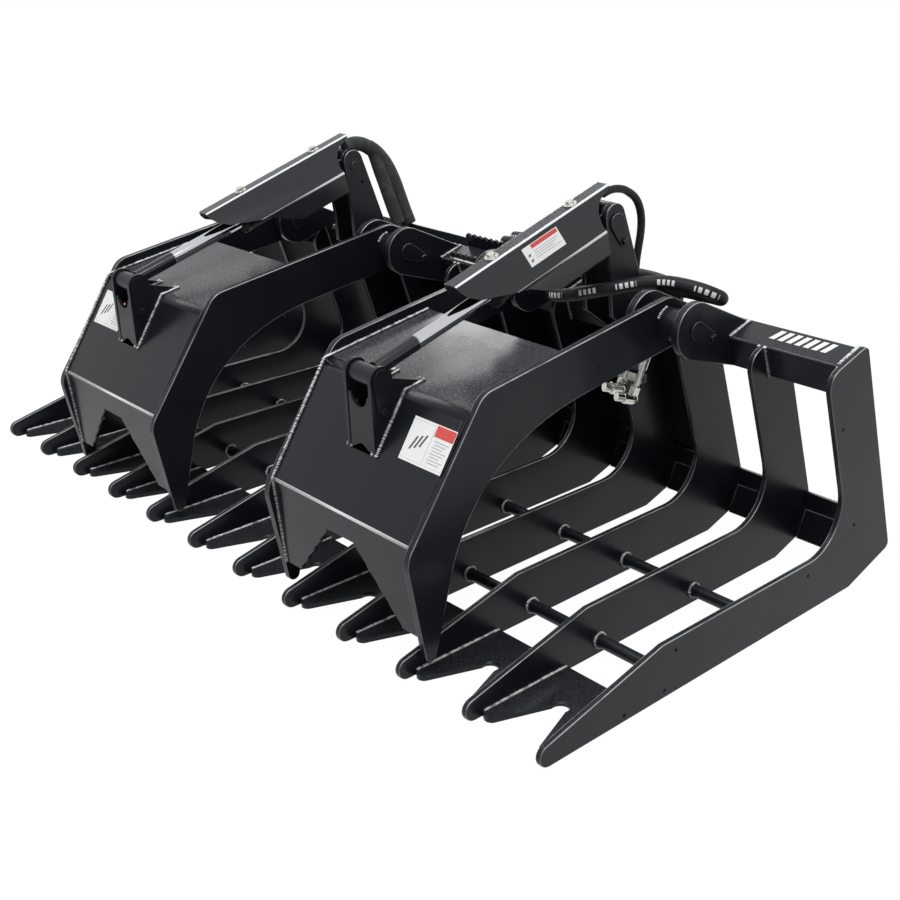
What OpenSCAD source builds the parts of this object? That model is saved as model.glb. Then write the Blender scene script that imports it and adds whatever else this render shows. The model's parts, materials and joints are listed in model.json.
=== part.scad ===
// Root and rock grapple for a skid steer loader: a row of welded tines under two separate lids,
// each closed by its own hydraulic cylinder. X is the width, -Y the tips and +Z up.
// All sizes are millimetres. Depths below are measured from the tip line towards the back.

/* [Frame] */
// Overall width over the two end plates
width = 2134; // [2130:2:2138]
// Thickness of every tine plate
tine_t = 12.7; // [11:0.1:13]
// Height of the straight part of a tine
tine_h = 115; // [110:1:120]
// Radius of the inside corner between floor and back
heel_r = 100; // [90:1:110]
// Lean of the back towards the tips
lean = 16.9; // [16:0.1:18]
// Side of the square top tube
tube_w = 76.2; // [74:0.1:77]
// Wall of the top tube
tube_wall = 9.5; // [6:0.5:12]
// Diameter of the two round cross bars
bar_d = 26.7; // [24:0.1:30]

/* [Front edge] */
// Thickness of the toothed edge plate
edge_t = 10; // [8:0.5:12]
// Depth of the straight rear side of the edge plate
edge_rear = 238; // [225:1:250]
// Depth of the deepest point of each notch
notch_depth = 150; // [135:1:165]
// Radius at the root of each notch
notch_r = 18; // [14:1:24]

/* [Lids] */
// Distance of each lid's middle from the middle of the fourth tine
lid_off = 12.1; // [10:0.1:14]
// Width of a lid over its side plates
lid_w = 476; // [472:1:480]
// Thickness of a lid's side plates
lid_t = 15.9; // [14:0.1:16]
// Thickness of the folded cover
cover_t = 9.5; // [8:0.5:10]
// Depth of the hinge axis
hinge_y = 705; // [702:1:708]
// Height of the hinge axis
hinge_z = 557; // [555:1:559]
// Diameter of the hinge pins
hinge_pin_d = 38.1; // [36:0.1:40]

/* [Cylinders] */
// Depth of the cylinder's base pin
base_y = 752; // [750:1:754]
// Height of the cylinder's base pin
base_z = 730; // [728:1:732]
// Depth of the rod pin in the lid's clevis
rod_y = 105; // [103:1:107]
// Height of the rod pin in the lid's clevis
rod_z = 539; // [537:1:541]
// Diameter of the base pin and of the rod pin
cyl_pin_d = 25.4; // [24:0.1:26]
// Diameter of the piston rod
rod_d = 31.8; // [30:0.1:33]
// Outer diameter of the barrel
barrel_d = 63.5; // [62:0.1:64]
// Bore of the barrel
barrel_bore = 50.8; // [48:0.1:52]

/* [Fits] */
// Radial clearance of a pin in the bore that turns on it
run_gap = 0.05; // [0.02:0.01:0.1]
// Gap between pieces that are welded or bolted together
weld_gap = 0.1; // [0.05:0.05:0.3]

/* [Hidden] */
$fn = 64;

paint = [0.13, 0.13, 0.14];
zinc = [0.75, 0.75, 0.74];
chrome = [0.85, 0.86, 0.88];
rubber = [0.09, 0.09, 0.1];

// Tine outline: rounded nose, rising top edge, straight run, heel curve and leaning back
tine_count = 12;
pitch = (width - tine_t) / (tine_count - 1);
lid_x = 2.5 * pitch - lid_off;
nose_y = 4;
nose_r = 22;
kink_y = 295;
corner_y = 1030;
corner_z = 58;
corner_r = 15;
back_w = 138;
mid_y = (corner_y + corner_r + nose_y - nose_r) / 2;
cl = cos(lean);
sl = sin(lean);

// A point of the leaning back: s runs towards the rear, t up along the back
function back(s, t) = [corner_y + s * cl - t * sl, corner_z + s * sl + t * cl];
front_s = corner_r - back_w;
tube_s = -72.4;
tube_t = 505;
tube_mid = back(tube_s + tube_w / 2, tube_t - tube_w / 2);
coupler_t = 9.5;

hinge = [hinge_y, hinge_z];
base = [base_y, base_z];
rod_end = [rod_y, rod_z];
cyl_len = norm(rod_end - base);
cyl_angle = atan2(base_z - rod_z, base_y - rod_y);
side_x = lid_w / 2 - lid_t / 2;

// Points on an arc from angle a to angle b
function arc(c, r, a, b, n = 10) = [for (i = [0:n]) c + r * [cos(a + (b - a) * i / n), sin(a + (b - a) * i / n)]];

// Points on a quadratic curve, leaving its two ends out
function curve(p, q, r, n = 14) = [for (i = [1:n - 1]) let (u = i / n) (1 - u) * (1 - u) * p + 2 * u * (1 - u) * q + u * u * r];

// Angle at which the line from point p touches the circle, on the left or right seen from the circle
function touch(c, r, p, side) = atan2(p[1] - c[1], p[0] - c[0]) + side * acos(r / norm(p - c));

// Outline of a folded sheet: the outer line and the same line moved in by t
function unit(v) = v / norm(v);
function turned(v) = [-v[1], v[0]];
function edge_normal(p, i) = turned(unit(p[i + 1] - p[i]));
function normal_in(p, i) = edge_normal(p, max(i - 1, 0)) + edge_normal(p, min(i, len(p) - 2));
function miter(p, i) = normal_in(p, i) * 2 / (normal_in(p, i) * normal_in(p, i));
function sheet(p, t) = concat(p, [for (i = [len(p) - 1:-1:0]) p[i] + t * miter(p, i)]);

// Teardrop keeper outline around a pin at a, with a bolt at b
function teardrop(a, ra, b, rb) =
  let (dir = atan2(b[1] - a[1], b[0] - a[0]), open = acos((ra - rb) / norm(b - a)))
  concat(arc(a, ra, dir + open, dir + 360 - open, 24), arc(b, rb, dir - open, dir + open, 10));

// A plate of thickness t whose low X face is at x, with its outline drawn in depth and height
module plate(x, t) {
  translate([x, -mid_y, 0]) rotate([90, 0, 90]) linear_extrude(t) children();
}

// A round bar along X between x0 and x1
module bar(p, d, x0, x1) {
  translate([x0, p[0] - mid_y, p[1]]) rotate([0, 90, 0]) cylinder(d = d, h = x1 - x0);
}

// Cylinder frame: origin on the base pin, Z towards the rod pin, Y up square to it
module on_cylinder(side) {
  translate([side * lid_x, base_y - mid_y, base_z]) rotate([90 + cyl_angle, 0, 0]) children();
}

function tine_x(i) = width / 2 - i * pitch - tine_t;
heel_s = front_s - heel_r;
heel_centre = [back(heel_s, 0)[0] - (tine_h + heel_r - back(heel_s, 0)[1]) * sl / cl, tine_h + heel_r];
tine_body = concat(
  arc([nose_y, nose_r], nose_r, 270, 103.6, 10),
  [[kink_y, tine_h]],
  arc(heel_centre, heel_r, 270, 360 + lean, 12)
);
heel_line = [[900, 0]];

// Lower outline of a tine's rear corner, for a back face at offset s
function rear_corner(s) = arc([corner_y, corner_z] + (s - corner_r) * [cl, sl], corner_r, lean, lean - 88, 6);

module inner_tine_outline() {
  difference() {
    polygon(concat(
      tine_body,
      arc(back(front_s + 40, tube_t - 42), 40, 180 + lean, 90 + lean, 8),
      [back(tube_s - weld_gap, tube_t - 2), back(tube_s - weld_gap, tube_t - tube_w - weld_gap)],
      [back(corner_r - coupler_t - weld_gap, tube_t - tube_w - weld_gap)],
      rear_corner(corner_r - coupler_t - weld_gap),
      heel_line
    ));
    bar_holes();
  }
}

module end_outline() {
  difference() {
    polygon(concat(
      tine_body,
      arc(back(front_s + 40, tube_t - 38), 40, 180 + lean, 90 + lean, 8),
      arc(back(0, tube_t - 13), 15, 90 + lean, lean, 6),
      rear_corner(corner_r),
      heel_line
    ));
    for (p = [[829, 385], [900, 149], [744, 87], [331, 91], [301, 16], [192, 14]])
      translate(p) circle(d = 8);
  }
}

module bar_holes() {
  for (p = [front_bar, middle_bar])
    translate(p) circle(d = bar_d + 2 * weld_gap);
}
front_bar = [329, 30];
middle_bar = [614, 30];

// Tine 1 is the right end plate and tine 12 the left one
module tine(i) {
  color(paint) plate(tine_x(i - 1), tine_t)
    if (i == 1 || i == tine_count) end_outline();
    else inner_tine_outline();
}

// One bay of the edge plate between two tines, seen from above
bay_w = pitch - tine_t - 2 * weld_gap;
module edge_bay() {
  difference() {
    polygon(concat(
      [[-bay_w / 2, edge_rear], [-bay_w / 2, 22]],
      arc([-bay_w / 2 + 17, 30], 16, 240, 330, 6),
      [[-bay_w / 2 + 52, 60], [bay_w / 2 - 52, 60]],
      arc([bay_w / 2 - 17, 30], 16, 210, 300, 6),
      [[bay_w / 2, 22], [bay_w / 2, edge_rear]]
    ));
    translate([0, notch_depth - notch_r]) circle(notch_r);
    polygon([[-notch_r * 0.97, notch_depth - notch_r * 1.25], [-bay_w / 2 + 30, 20], [-bay_w / 2 + 30, 0],
      [bay_w / 2 - 30, 0], [bay_w / 2 - 30, 20], [notch_r * 0.97, notch_depth - notch_r * 1.25]]);
  }
}

module front_edge_plate() {
  color(paint)
    for (i = [0:tine_count - 2])
      translate([tine_x(i) - (pitch - tine_t) / 2, -mid_y, 1]) linear_extrude(edge_t) edge_bay();
}

module cross_bars() {
  end = width / 2 - tine_t - weld_gap;
  color(paint)
    for (p = [front_bar, middle_bar])
      bar(p, bar_d, -end, end);
}

// Folded strip along the bottom of the back, in one length per bay
rear_lip_line = [[980, 20], [1013, 84], back(4, 72)];
module rear_lip() {
  color(paint)
    for (i = [0:tine_count - 2])
      plate(tine_x(i) - pitch + tine_t + weld_gap, bay_w) polygon(sheet(rear_lip_line, 8));
}

module top_tube() {
  length = width - 2 * tine_t - 2 * weld_gap;
  color(paint) translate([-length / 2, tube_mid[0] - mid_y, tube_mid[1]])
    rotate([lean, 0, 0]) rotate([90, 0, 90]) difference() {
      linear_extrude(length) rounded_square(tube_w, 6);
      translate([0, 0, -1]) linear_extrude(length + 2) rounded_square(tube_w - 2 * tube_wall, 3);
    }
}

module rounded_square(w, r) {
  polygon([for (k = [0:3], q = arc([w / 2 - r, w / 2 - r], r, 0, 90, 4)) rotated(q, 90 * k)]);
}
function rotated(p, a) = [p[0] * cos(a) - p[1] * sin(a), p[0] * sin(a) + p[1] * cos(a)];

// Quick coupler plate of the common skid steer size, on the rear of the middle tines
coupler_w = 1143;
coupler_low = 66;
module coupler_plate() {
  line = [back(corner_r, coupler_low), back(corner_r, tube_t - 30), back(corner_r + 26, tube_t - 4)];
  color(paint) plate(-coupler_w / 2, coupler_w) polygon(sheet(line, coupler_t));
}

// Lower lip of the coupler with the two slots for the machine's lock wedges
lip_line = [back(corner_r + 5, coupler_low - 50), back(corner_r, coupler_low - weld_gap)];
slot_w = 22;
slot_len = 44;
slot_x = 432;
module coupler_lower_lip() {
  color(paint) difference() {
    plate(-coupler_w / 2, coupler_w) polygon(sheet(lip_line, coupler_t));
    for (x = [-slot_x, slot_x])
      translate([x - slot_len / 2, 990 - mid_y, 88]) cube([slot_len, 60, slot_w]);
  }
}

// Serrated step on the tube between the lids
step_w = 250;
step_h = 42;
step_teeth = 12;
module step_plate() {
  color(paint) {
    tube_top(tube_w - 6 - 1, 6, -step_w / 2, step_w) step_teeth_outline();
    translate([0, tube_mid[0] - mid_y, tube_mid[1]]) rotate([lean, 0, 0])
      translate([-step_w / 2, -tube_w / 2 + 14, tube_w / 2 + weld_gap]) cube([step_w, tube_w - 21 - weld_gap, 5]);
    tube_top(8, 6, -step_w / 2, step_w) step_teeth_outline(0.5);
  }
}

// Upright sheet on the tube's top face, at distance d from its front edge
module tube_top(d, t, x, w) {
  translate([x, tube_mid[0] - mid_y, tube_mid[1]]) rotate([lean, 0, 0])
    translate([0, -tube_w / 2 + d + t, tube_w / 2 + weld_gap]) rotate([90, 0, 0]) linear_extrude(t) children();
}

module step_teeth_outline(k = 1) {
  w = step_w / step_teeth;
  polygon(concat(
    [[0, 0]],
    [for (i = [0:step_teeth - 1], q = [[0.1, 0], [0.45, 1], [0.75, 1]]) [(i + q[0]) * w, k * step_h - 7 + 7 * q[1]]],
    [[step_w, k * step_h - 7], [step_w, 0]]
  ));
}

// Hinge brackets: the outer plates wrap the tube's front, the inner ones stand on its top
bracket_t = 19;
bracket_r = 60;
bracket_out = 315;
bracket_in = 170;
tube_front_low = back(tube_s - weld_gap, tube_t - tube_w + 3);
tube_front_top = back(tube_s - weld_gap, tube_t + weld_gap);
tube_rear_top = back(tube_s + tube_w - 8, tube_t + weld_gap);

module outer_bracket_outline() {
  difference() {
    polygon(concat(
      arc(hinge, bracket_r, touch(hinge, bracket_r, tube_rear_top, 1), 360 + touch(hinge, bracket_r, tube_front_low, -1), 20),
      [tube_front_low, tube_front_top, tube_rear_top]
    ));
    translate(hinge) circle(d = hinge_pin_d + 2 * run_gap);
  }
}

module inner_bracket_outline() {
  foot = back(tube_s - 14, tube_t + 8);
  difference() {
    polygon(concat(
      arc(hinge, bracket_r, touch(hinge, bracket_r, tube_rear_top, 1), 360 + touch(hinge, bracket_r, foot, -1), 20),
      [foot, back(tube_s + 6, tube_t + weld_gap), tube_rear_top]
    ));
    translate(hinge) circle(d = hinge_pin_d + 2 * run_gap);
  }
}

module hinge_brackets(side) {
  for (x = [bracket_out - bracket_t, -bracket_out])
    plate(side * lid_x + x, bracket_t) outer_bracket_outline();
  for (x = [bracket_in, -bracket_in - bracket_t])
    plate(side * lid_x + x, bracket_t) inner_bracket_outline();
}

module hinge_brackets_right() {
  color(paint) hinge_brackets(1);
}

module hinge_brackets_left() {
  color(paint) hinge_brackets(-1);
}

// Tower plates that carry the cylinder's base pin
tower_t = 12.7;
tower_out = 46;
tower_head = base + [-3, 13];
tower_r = 29.5;
tower_front = [737, 601];
tower_foot = back(tube_s + tube_w - 34, tube_t + weld_gap);
module tower_outline() {
  difference() {
    polygon(concat(
      arc(tower_head, tower_r, touch(tower_head, tower_r, tower_foot, 1), 360 + touch(tower_head, tower_r, tower_front, -1), 20),
      [tower_front, [742, 520], tube_front_low, tube_front_top, tower_foot]
    ));
    translate(base) circle(d = cyl_pin_d + 2 * run_gap);
    translate(tower_keeper) circle(d = keeper_d + 2 * weld_gap);
  }
}

module cylinder_tower(side) {
  for (x = [tower_out - tower_t, -tower_out])
    plate(side * lid_x + x, tower_t) tower_outline();
}

module cylinder_tower_right() {
  color(paint) cylinder_tower(1);
}

module cylinder_tower_left() {
  color(paint) cylinder_tower(-1);
}

// Keepers: teardrop flags welded to the pins and held by one small bolt each
keeper_d = 9.5;
keeper_t = 4.5;
keeper_r = 21;
hinge_keeper = hinge + [46.3, -23.6];
tower_keeper = base + [21.6, -44.5];
rod_keeper = rod_end + [-3, -63];

module keeper(x, a, b) {
  plate(x, keeper_t) difference() {
    polygon(teardrop(a, keeper_r, b, 12));
    translate(b) circle(d = keeper_d + 2 * weld_gap);
  }
}

module hinge_pins(side) {
  for (s = [1, -1]) {
    bar_ends = [s * (bracket_in - 4), s * (bracket_out + weld_gap + keeper_t)];
    bar(hinge, hinge_pin_d, side * lid_x + min(bar_ends), side * lid_x + max(bar_ends));
    keeper(side * lid_x + s * (bracket_out + weld_gap + keeper_t / 2) - keeper_t / 2, hinge, hinge_keeper);
  }
}

module hinge_pins_right() {
  color(paint) hinge_pins(1);
}

module hinge_pins_left() {
  color(paint) hinge_pins(-1);
}

// The keeper of each base pin sits on the tower's outer side, away from the middle
module base_pin() {
  bar(base, cyl_pin_d, lid_x - tower_out - 3, lid_x + tower_out + weld_gap + keeper_t);
  keeper(lid_x + tower_out + weld_gap, base, tower_keeper);
}

module base_pin_right() {
  color(paint) base_pin();
}

module base_pin_left() {
  color(paint) mirror([1, 0, 0]) base_pin();
}

// Small hexagon bolt along X with its head's inner face at x
module keeper_bolt(p, x, side, length) {
  translate([x, p[0] - mid_y, p[1]]) rotate([0, 90 * side, 0]) {
    cylinder(d = 17, h = 6, $fn = 6);
    translate([0, 0, -length]) cylinder(d = keeper_d, h = length);
  }
}

module frame_keeper_bolts() {
  color(zinc)
    for (side = [1, -1]) {
      for (s = [1, -1])
        keeper_bolt(hinge_keeper, side * lid_x + s * (bracket_out + weld_gap + keeper_t), s, keeper_t);
      keeper_bolt(tower_keeper, side * (lid_x + tower_out + weld_gap + keeper_t), side, keeper_t + tower_t);
    }
}

// Lid side plates: a hinge end, a long arm and a curved claw
lid_r = 55;
claw_corner = [215, 540];
module lid_side_outline() {
  heel = [480, 470];
  difference() {
    polygon(concat(
      arc(hinge, lid_r, touch(hinge, lid_r, heel, 1) - 360, touch(hinge, lid_r, claw_corner, -1), 20),
      arc([222, 488], 52, 99, 145, 6),
      arc([52, 246], 55, 145, 190, 6),
      arc([42, 47], 14, 192, 342, 8),
      [[90, 165]],
      curve([90, 165], [150, 430], heel),
      [heel]
    ));
    translate(hinge) circle(d = hub_d + 2 * weld_gap);
  }
}

module lid_sides(side) {
  for (x = [side_x, -side_x])
    plate(side * lid_x + x - lid_t / 2, lid_t) lid_side_outline();
}

module lid_sides_right() {
  color(paint) lid_sides(1);
}

module lid_sides_left() {
  color(paint) lid_sides(-1);
}

// Hubs that turn on the hinge pins, one through each side plate
hub_d = 70;
hub_in = bracket_in + bracket_t + 1.5;
hub_out = bracket_out - bracket_t - 1.5;
module lid_hubs(side) {
  for (x = [hub_in, -hub_out])
    difference() {
      bar(hinge, hub_d, side * lid_x + x, side * lid_x + x + hub_out - hub_in);
      bar(hinge, hinge_pin_d + 2 * run_gap, side * lid_x + x - 1, side * lid_x + x + hub_out - hub_in + 1);
    }
}

module lid_hubs_right() {
  color(paint) lid_hubs(1);
}

module lid_hubs_left() {
  color(paint) lid_hubs(-1);
}

// Folded cover between the side plates, its lower edge cut to a toothed arch
cover_back = [440, 549];
cover_top = [161, 505];
cover_fold = [11, 281];
cover_foot = [27, 84];
arch_teeth = 5;
arch_deep = 170;
module lid_cover(side) {
  inner = lid_w / 2 - lid_t - weld_gap;
  difference() {
    plate(side * lid_x - inner, 2 * inner) polygon(sheet([cover_foot, cover_fold, cover_top, cover_back], -cover_t));
    translate([side * lid_x, -mid_y + 120, 0]) rotate([90, 0, 0]) linear_extrude(arch_deep) arch_outline(inner);
  }
}

// The arch seen from the front: a short flat top and two toothed flanks down to the side plates
arch_top = [45, 226];
module arch_outline(inner) {
  foot = [inner - 26, 60];
  step = (foot - arch_top) / arch_teeth;
  flank = [for (i = [0:arch_teeth - 1], q = [0, 1]) arch_top + i * step + q * [4, -step[0] * 0.28]];
  polygon(concat(
    flank,
    [foot, [foot[0], 0], [-foot[0], 0], [-foot[0], foot[1]]],
    [for (i = [len(flank) - 1:-1:0]) [-flank[i][0], flank[i][1]]]
  ));
}

module lid_cover_right() {
  color(paint) lid_cover(1);
}

module lid_cover_left() {
  color(paint) lid_cover(-1);
}

// Clevis on the cover: two ears and the front plate between them, hollowed at its top and foot
ear_t = 9.5;
ear_out = 44;
ear_r = 26;
facet = unit(cover_top - cover_fold);
roof = unit(cover_back - cover_top);
ear_low = cover_fold + 124 * facet + weld_gap * turned(facet);
ear_high = cover_top + 46.6 * roof + weld_gap * turned(roof);
module ear_outline() {
  difference() {
    polygon(concat(
      arc(rod_end, ear_r, -9, 360 + touch(rod_end, ear_r, ear_low, -1), 16),
      [ear_low, cover_top + weld_gap * [-0.7, 1], ear_high]
    ));
    translate(rod_end) circle(d = cyl_pin_d + 2 * run_gap);
  }
}

clevis_face = 81;
clevis_t = 8;
clevis_top = 504;
hollow_r = 26;
hollow_z = 479;
module clevis_front_plate(side) {
  inside = ear_out - ear_t + 1;
  foot = ear_low[1] + (clevis_face - ear_low[0]) * facet[1] / facet[0];
  foot_rear = foot + clevis_t * facet[1] / facet[0];
  difference() {
    plate(side * lid_x - inside, 2 * inside)
      polygon([[clevis_face, foot], [clevis_face, clevis_top], [clevis_face + clevis_t, clevis_top], [clevis_face + clevis_t, foot_rear]]);
    translate([side * lid_x, clevis_face + 2 * clevis_t - mid_y, 0]) rotate([90, 0, 0]) linear_extrude(3 * clevis_t) {
      translate([0, hollow_z + hollow_r]) circle(hollow_r);
      translate([-hollow_r, hollow_z + hollow_r]) square(2 * hollow_r);
      translate([0, foot]) circle(17.5);
    }
  }
}

module lid_clevis(side) {
  for (x = [ear_out - ear_t, -ear_out])
    plate(side * lid_x + x, ear_t) difference() {
      ear_outline();
      translate(rod_keeper) circle(d = keeper_d + 2 * weld_gap);
    }
  clevis_front_plate(side);
}

module lid_clevis_right() {
  color(paint) lid_clevis(1);
}

module lid_clevis_left() {
  color(paint) lid_clevis(-1);
}

module rod_pin(side) {
  outer = ear_out + weld_gap;
  color(paint) bar(rod_end, cyl_pin_d, side * lid_x - ear_out - 3, side * lid_x + outer + keeper_t);
  color(paint) keeper(side * lid_x + outer, rod_end, rod_keeper);
  color(zinc) keeper_bolt(rod_keeper, side * lid_x + outer + keeper_t, 1, keeper_t + ear_t);
}

module rod_pin_right() {
  rod_pin(1);
}

module rod_pin_left() {
  rod_pin(-1);
}

// Cylinder pieces, drawn along the cylinder frame's Z
piston_at = 262;
piston_l = 40;
barrel_foot = 26;
barrel_from = 52;
barrel_to = 324;
gland_l = 18;
eye_d = 42;
eye_w = 66;
module piston_rod(side) {
  on_cylinder(side) translate([0, 0, piston_at + piston_l])
    cylinder(d = rod_d, h = cyl_len - eye_d / 2 + 1 - piston_at - piston_l);
}

module piston_rod_right() {
  color(chrome) piston_rod(1);
}

module piston_rod_left() {
  color(chrome) piston_rod(-1);
}

module rod_eye(side) {
  difference() {
    bar(rod_end, eye_d, side * lid_x - eye_w / 2, side * lid_x + eye_w / 2);
    bar(rod_end, cyl_pin_d + 2 * run_gap, side * lid_x - eye_w, side * lid_x + eye_w);
    on_cylinder(side) cylinder(d = rod_d + 2 * weld_gap, h = cyl_len - eye_d / 2 + 1 + weld_gap);
  }
}

module rod_eye_right() {
  color(paint) rod_eye(1);
}

module rod_eye_left() {
  color(paint) rod_eye(-1);
}

module piston(side) {
  on_cylinder(side) translate([0, 0, piston_at]) cylinder(d = barrel_bore - 2 * run_gap, h = piston_l - weld_gap);
}

module piston_right() {
  color(chrome) piston(1);
}

module piston_left() {
  color(chrome) piston(-1);
}

// Barrel with its welded base block. The block's pin hole is a slot, square to the barrel, in
// which the block shifts on the fixed pin while the rod end swings round with the lid
base_w = 64;
base_r = 28;
slot_up = 15.6;
slot_play = 2.6;
module barrel(side) {
  on_cylinder(side) difference() {
    union() {
      translate([0, 0, barrel_foot]) cylinder(d = barrel_d, h = barrel_to - barrel_foot);
      for (y = [0, slot_up])
        translate([-base_w / 2, y, 0]) rotate([0, 90, 0]) cylinder(r = base_r, h = base_w);
      translate([-base_w / 2, 0, -base_r]) cube([base_w, slot_up, base_r]);
      translate([-base_w / 2, -base_r, 0]) cube([base_w, 2 * base_r, base_r + 8]);
    }
    translate([0, 0, barrel_from]) cylinder(d = barrel_bore, h = barrel_to);
    for (y = [0, slot_up])
      translate([-base_w, y, 0]) rotate([0, 90, 0]) cylinder(d = cyl_pin_d + 2 * slot_play, h = 2 * base_w);
    translate([-base_w, 0, -cyl_pin_d / 2 - slot_play])
      cube([2 * base_w, slot_up, cyl_pin_d + 2 * slot_play]);
  }
}

module barrel_right() {
  color(paint) barrel(1);
}

module barrel_left() {
  color(paint) barrel(-1);
}

module gland(side) {
  on_cylinder(side) difference() {
    translate([0, 0, barrel_to + weld_gap]) cylinder(d = barrel_d + 4, h = gland_l);
    cylinder(d = rod_d + 2 * run_gap, h = barrel_to + 2 * gland_l);
  }
}

module gland_right() {
  color(paint) gland(1);
}

module gland_left() {
  color(paint) gland(-1);
}

// Guard: folded sheet over the barrel, a little lower in front. Its sides end in upright flanges,
// its front is cut on the slant and its rear is notched round the tower
guard_tilt = 1.17;
ridge = 17.1;
guard_h = 74.5;
fold_y = 2.4;
guard_half = 56;
flange_low = -50;
guard_t = 5;
guard_back = -26;
guard_end = 432;
notch_round = norm(tower_head - base) + tower_r + 1;
notch_high = notch_round + slot_up;
guard_bolt_at = [77, 313];
bolt_hole = 11;
module on_guard(side) {
  on_cylinder(side) rotate([guard_tilt, 0, 0]) children();
}

module guard(side) {
  line = [[guard_half, flange_low], [guard_half, fold_y], [ridge, guard_h], [-ridge, guard_h], [-guard_half, fold_y], [-guard_half, flange_low]];
  on_guard(side) difference() {
    translate([0, 0, guard_back]) linear_extrude(guard_end - guard_back) polygon(sheet(line, guard_t));
    side_cut() polygon([[205, -80], [205, -47], [245, -29], [283, -4], [304, 2], [394, 29.5], [417, 45], [427, 59],
      [431, 72], [432, 90], [540, 90], [540, -80]]);
    side_cut() polygon([[-60, -80], [48, -80], [notch_round - 2, fold_y], [notch_round, 14], [notch_round, slot_up],
      [notch_round * 0.87, slot_up + notch_round * 0.5], [notch_round * 0.5, slot_up + notch_round * 0.87],
      [10, notch_high], [-12, notch_high + 4], [guard_back, guard_h - 3], [-60, guard_h - 3]]);
    for (z = guard_bolt_at)
      translate([0, guard_h - 2 * guard_t, z]) rotate([-90, 0, 0]) cylinder(d = bolt_hole, h = 3 * guard_t);
  }
}

// A cutter across the cylinder frame, drawn in length and height
module side_cut() {
  translate([200, 0, 0]) rotate([0, -90, 0]) linear_extrude(400) children();
}

module guard_right() {
  color(paint) guard(1);
}

module guard_left() {
  color(paint) guard(-1);
}

post_d = 20;
shank_d = 10;
shank_l = 22;
module guard_posts(side) {
  difference() {
    on_guard(side)
      for (z = guard_bolt_at)
        translate([0, 0, z]) rotate([-90, 0, 0]) difference() {
          cylinder(d = post_d, h = guard_h - guard_t - weld_gap);
          translate([0, 0, guard_h - shank_l - 2]) cylinder(d = shank_d + 0.4, h = shank_l);
        }
    on_cylinder(side) cylinder(d = barrel_d + 2 * weld_gap, h = barrel_to + gland_l);
  }
}

module guard_posts_right() {
  color(paint) guard_posts(1);
}

module guard_posts_left() {
  color(paint) guard_posts(-1);
}

module guard_bolts(side) {
  on_guard(side)
    for (z = guard_bolt_at)
      translate([0, guard_h + weld_gap, z]) rotate([-90, 0, 0]) {
        cylinder(d = 30, h = 3);
        translate([0, 0, 3]) cylinder(d = 19, h = 7, $fn = 6);
        translate([0, 0, -shank_l]) cylinder(d = shank_d, h = shank_l + 1);
      }
}

module guard_bolts_right() {
  color(zinc) guard_bolts(1);
}

module guard_bolts_left() {
  color(zinc) guard_bolts(-1);
}

// Two steel pipes with elbow fittings, on a small plate welded to the front of the fourth tine
elbow_y = 785;
pipe_d = 14;
pipe_lean = 20;
elbow_at = [[25.2, 338], [63.2, 325]];
shelf = [90, 20];
shelf_z = 366;
module elbow_fittings() {
  shelf_top = shelf_z + shelf[1];
  front = back(front_s, (shelf_top - corner_z - front_s * sl) / cl)[0];
  color(zinc) {
    for (p = elbow_at)
      translate([tine_x(3) + p[0], elbow_y - mid_y, p[1]]) {
        sphere(d = 28);
        rotate([75, 0, -20]) cylinder(d = 30, h = 24, $fn = 6);
        rotate([75, 0, -20]) cylinder(d = 22, h = 42);
        rotate([0, pipe_lean, 0]) {
          cylinder(d = pipe_d, h = 150);
          translate([0, 0, 16]) cylinder(d = 26, h = 20, $fn = 6);
          translate([0, 0, 84]) cylinder(d = 22, h = 60);
        }
      }
    translate([tine_x(3), elbow_y - mid_y, shelf_z]) cube([shelf[0], front - elbow_y - weld_gap, shelf[1]]);
  }
}

// A hose along hand-placed points: rings square to the path, joined as one closed skin. The path
// never runs along the direction named by flat.
function along(p, i) = unit(p[min(i + 1, len(p) - 1)] - p[max(i - 1, 0)]);
function ring(p, i, r, n, flat) = let (v = along(p, i), a = unit(cross(v, flat)), b = cross(v, a))
  [for (k = [0:n - 1]) p[i] + r * (cos(360 * k / n) * a + sin(360 * k / n) * b)];
module hose(p, d, flat, n = 10) {
  points = [for (i = [0:len(p) - 1], q = ring(p, i, d / 2, n, flat)) q];
  last = (len(p) - 1) * n;
  skin = [for (i = [0:len(p) - 2], k = [0:n - 1]) let (m = (k + 1) % n)
    [i * n + k, i * n + m, (i + 1) * n + m, (i + 1) * n + k]];
  translate([0, -mid_y, 0]) polyhedron(points = points,
    faces = concat([[for (k = [n - 1:-1:0]) k]], skin, [[for (k = [0:n - 1]) last + k]]), convexity = 6);
}

// The feed hose comes over the tube from behind, passes in front of the right tower, turns back
// above the hinge and returns behind the tower
feed_d = 30;
feed_route = [[-60, 985, 560], [40, 965, 574], [150, 950, 582], [230, 940, 588], [282, 922, 594], [312, 890, 596],
  [326, 850, 590], [334, 806, 577], [340, 762, 564], [352, 722, 557], [376, 694, 557], [410, 682, 562],
  [450, 680, 572], [500, 689, 587], [553, 705, 602], [604, 735, 616], [655, 759, 623], [700, 768, 623],
  [735, 777, 619], [756, 790, 611], [762, 806, 602], [750, 822, 593], [724, 832, 589], [680, 838, 586],
  [630, 844, 583], [590, 856, 580], [558, 874, 578], [525, 890, 576], [470, 896, 575], [390, 895, 570.8],
  [300, 896, 570.2], [200, 905, 570.1], [60, 930, 566.9], [-60, 950, 554.9]];
module feed_hose() {
  color(rubber) hose(feed_route, feed_d, [0.01, 0.01, 1]);
}

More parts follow.
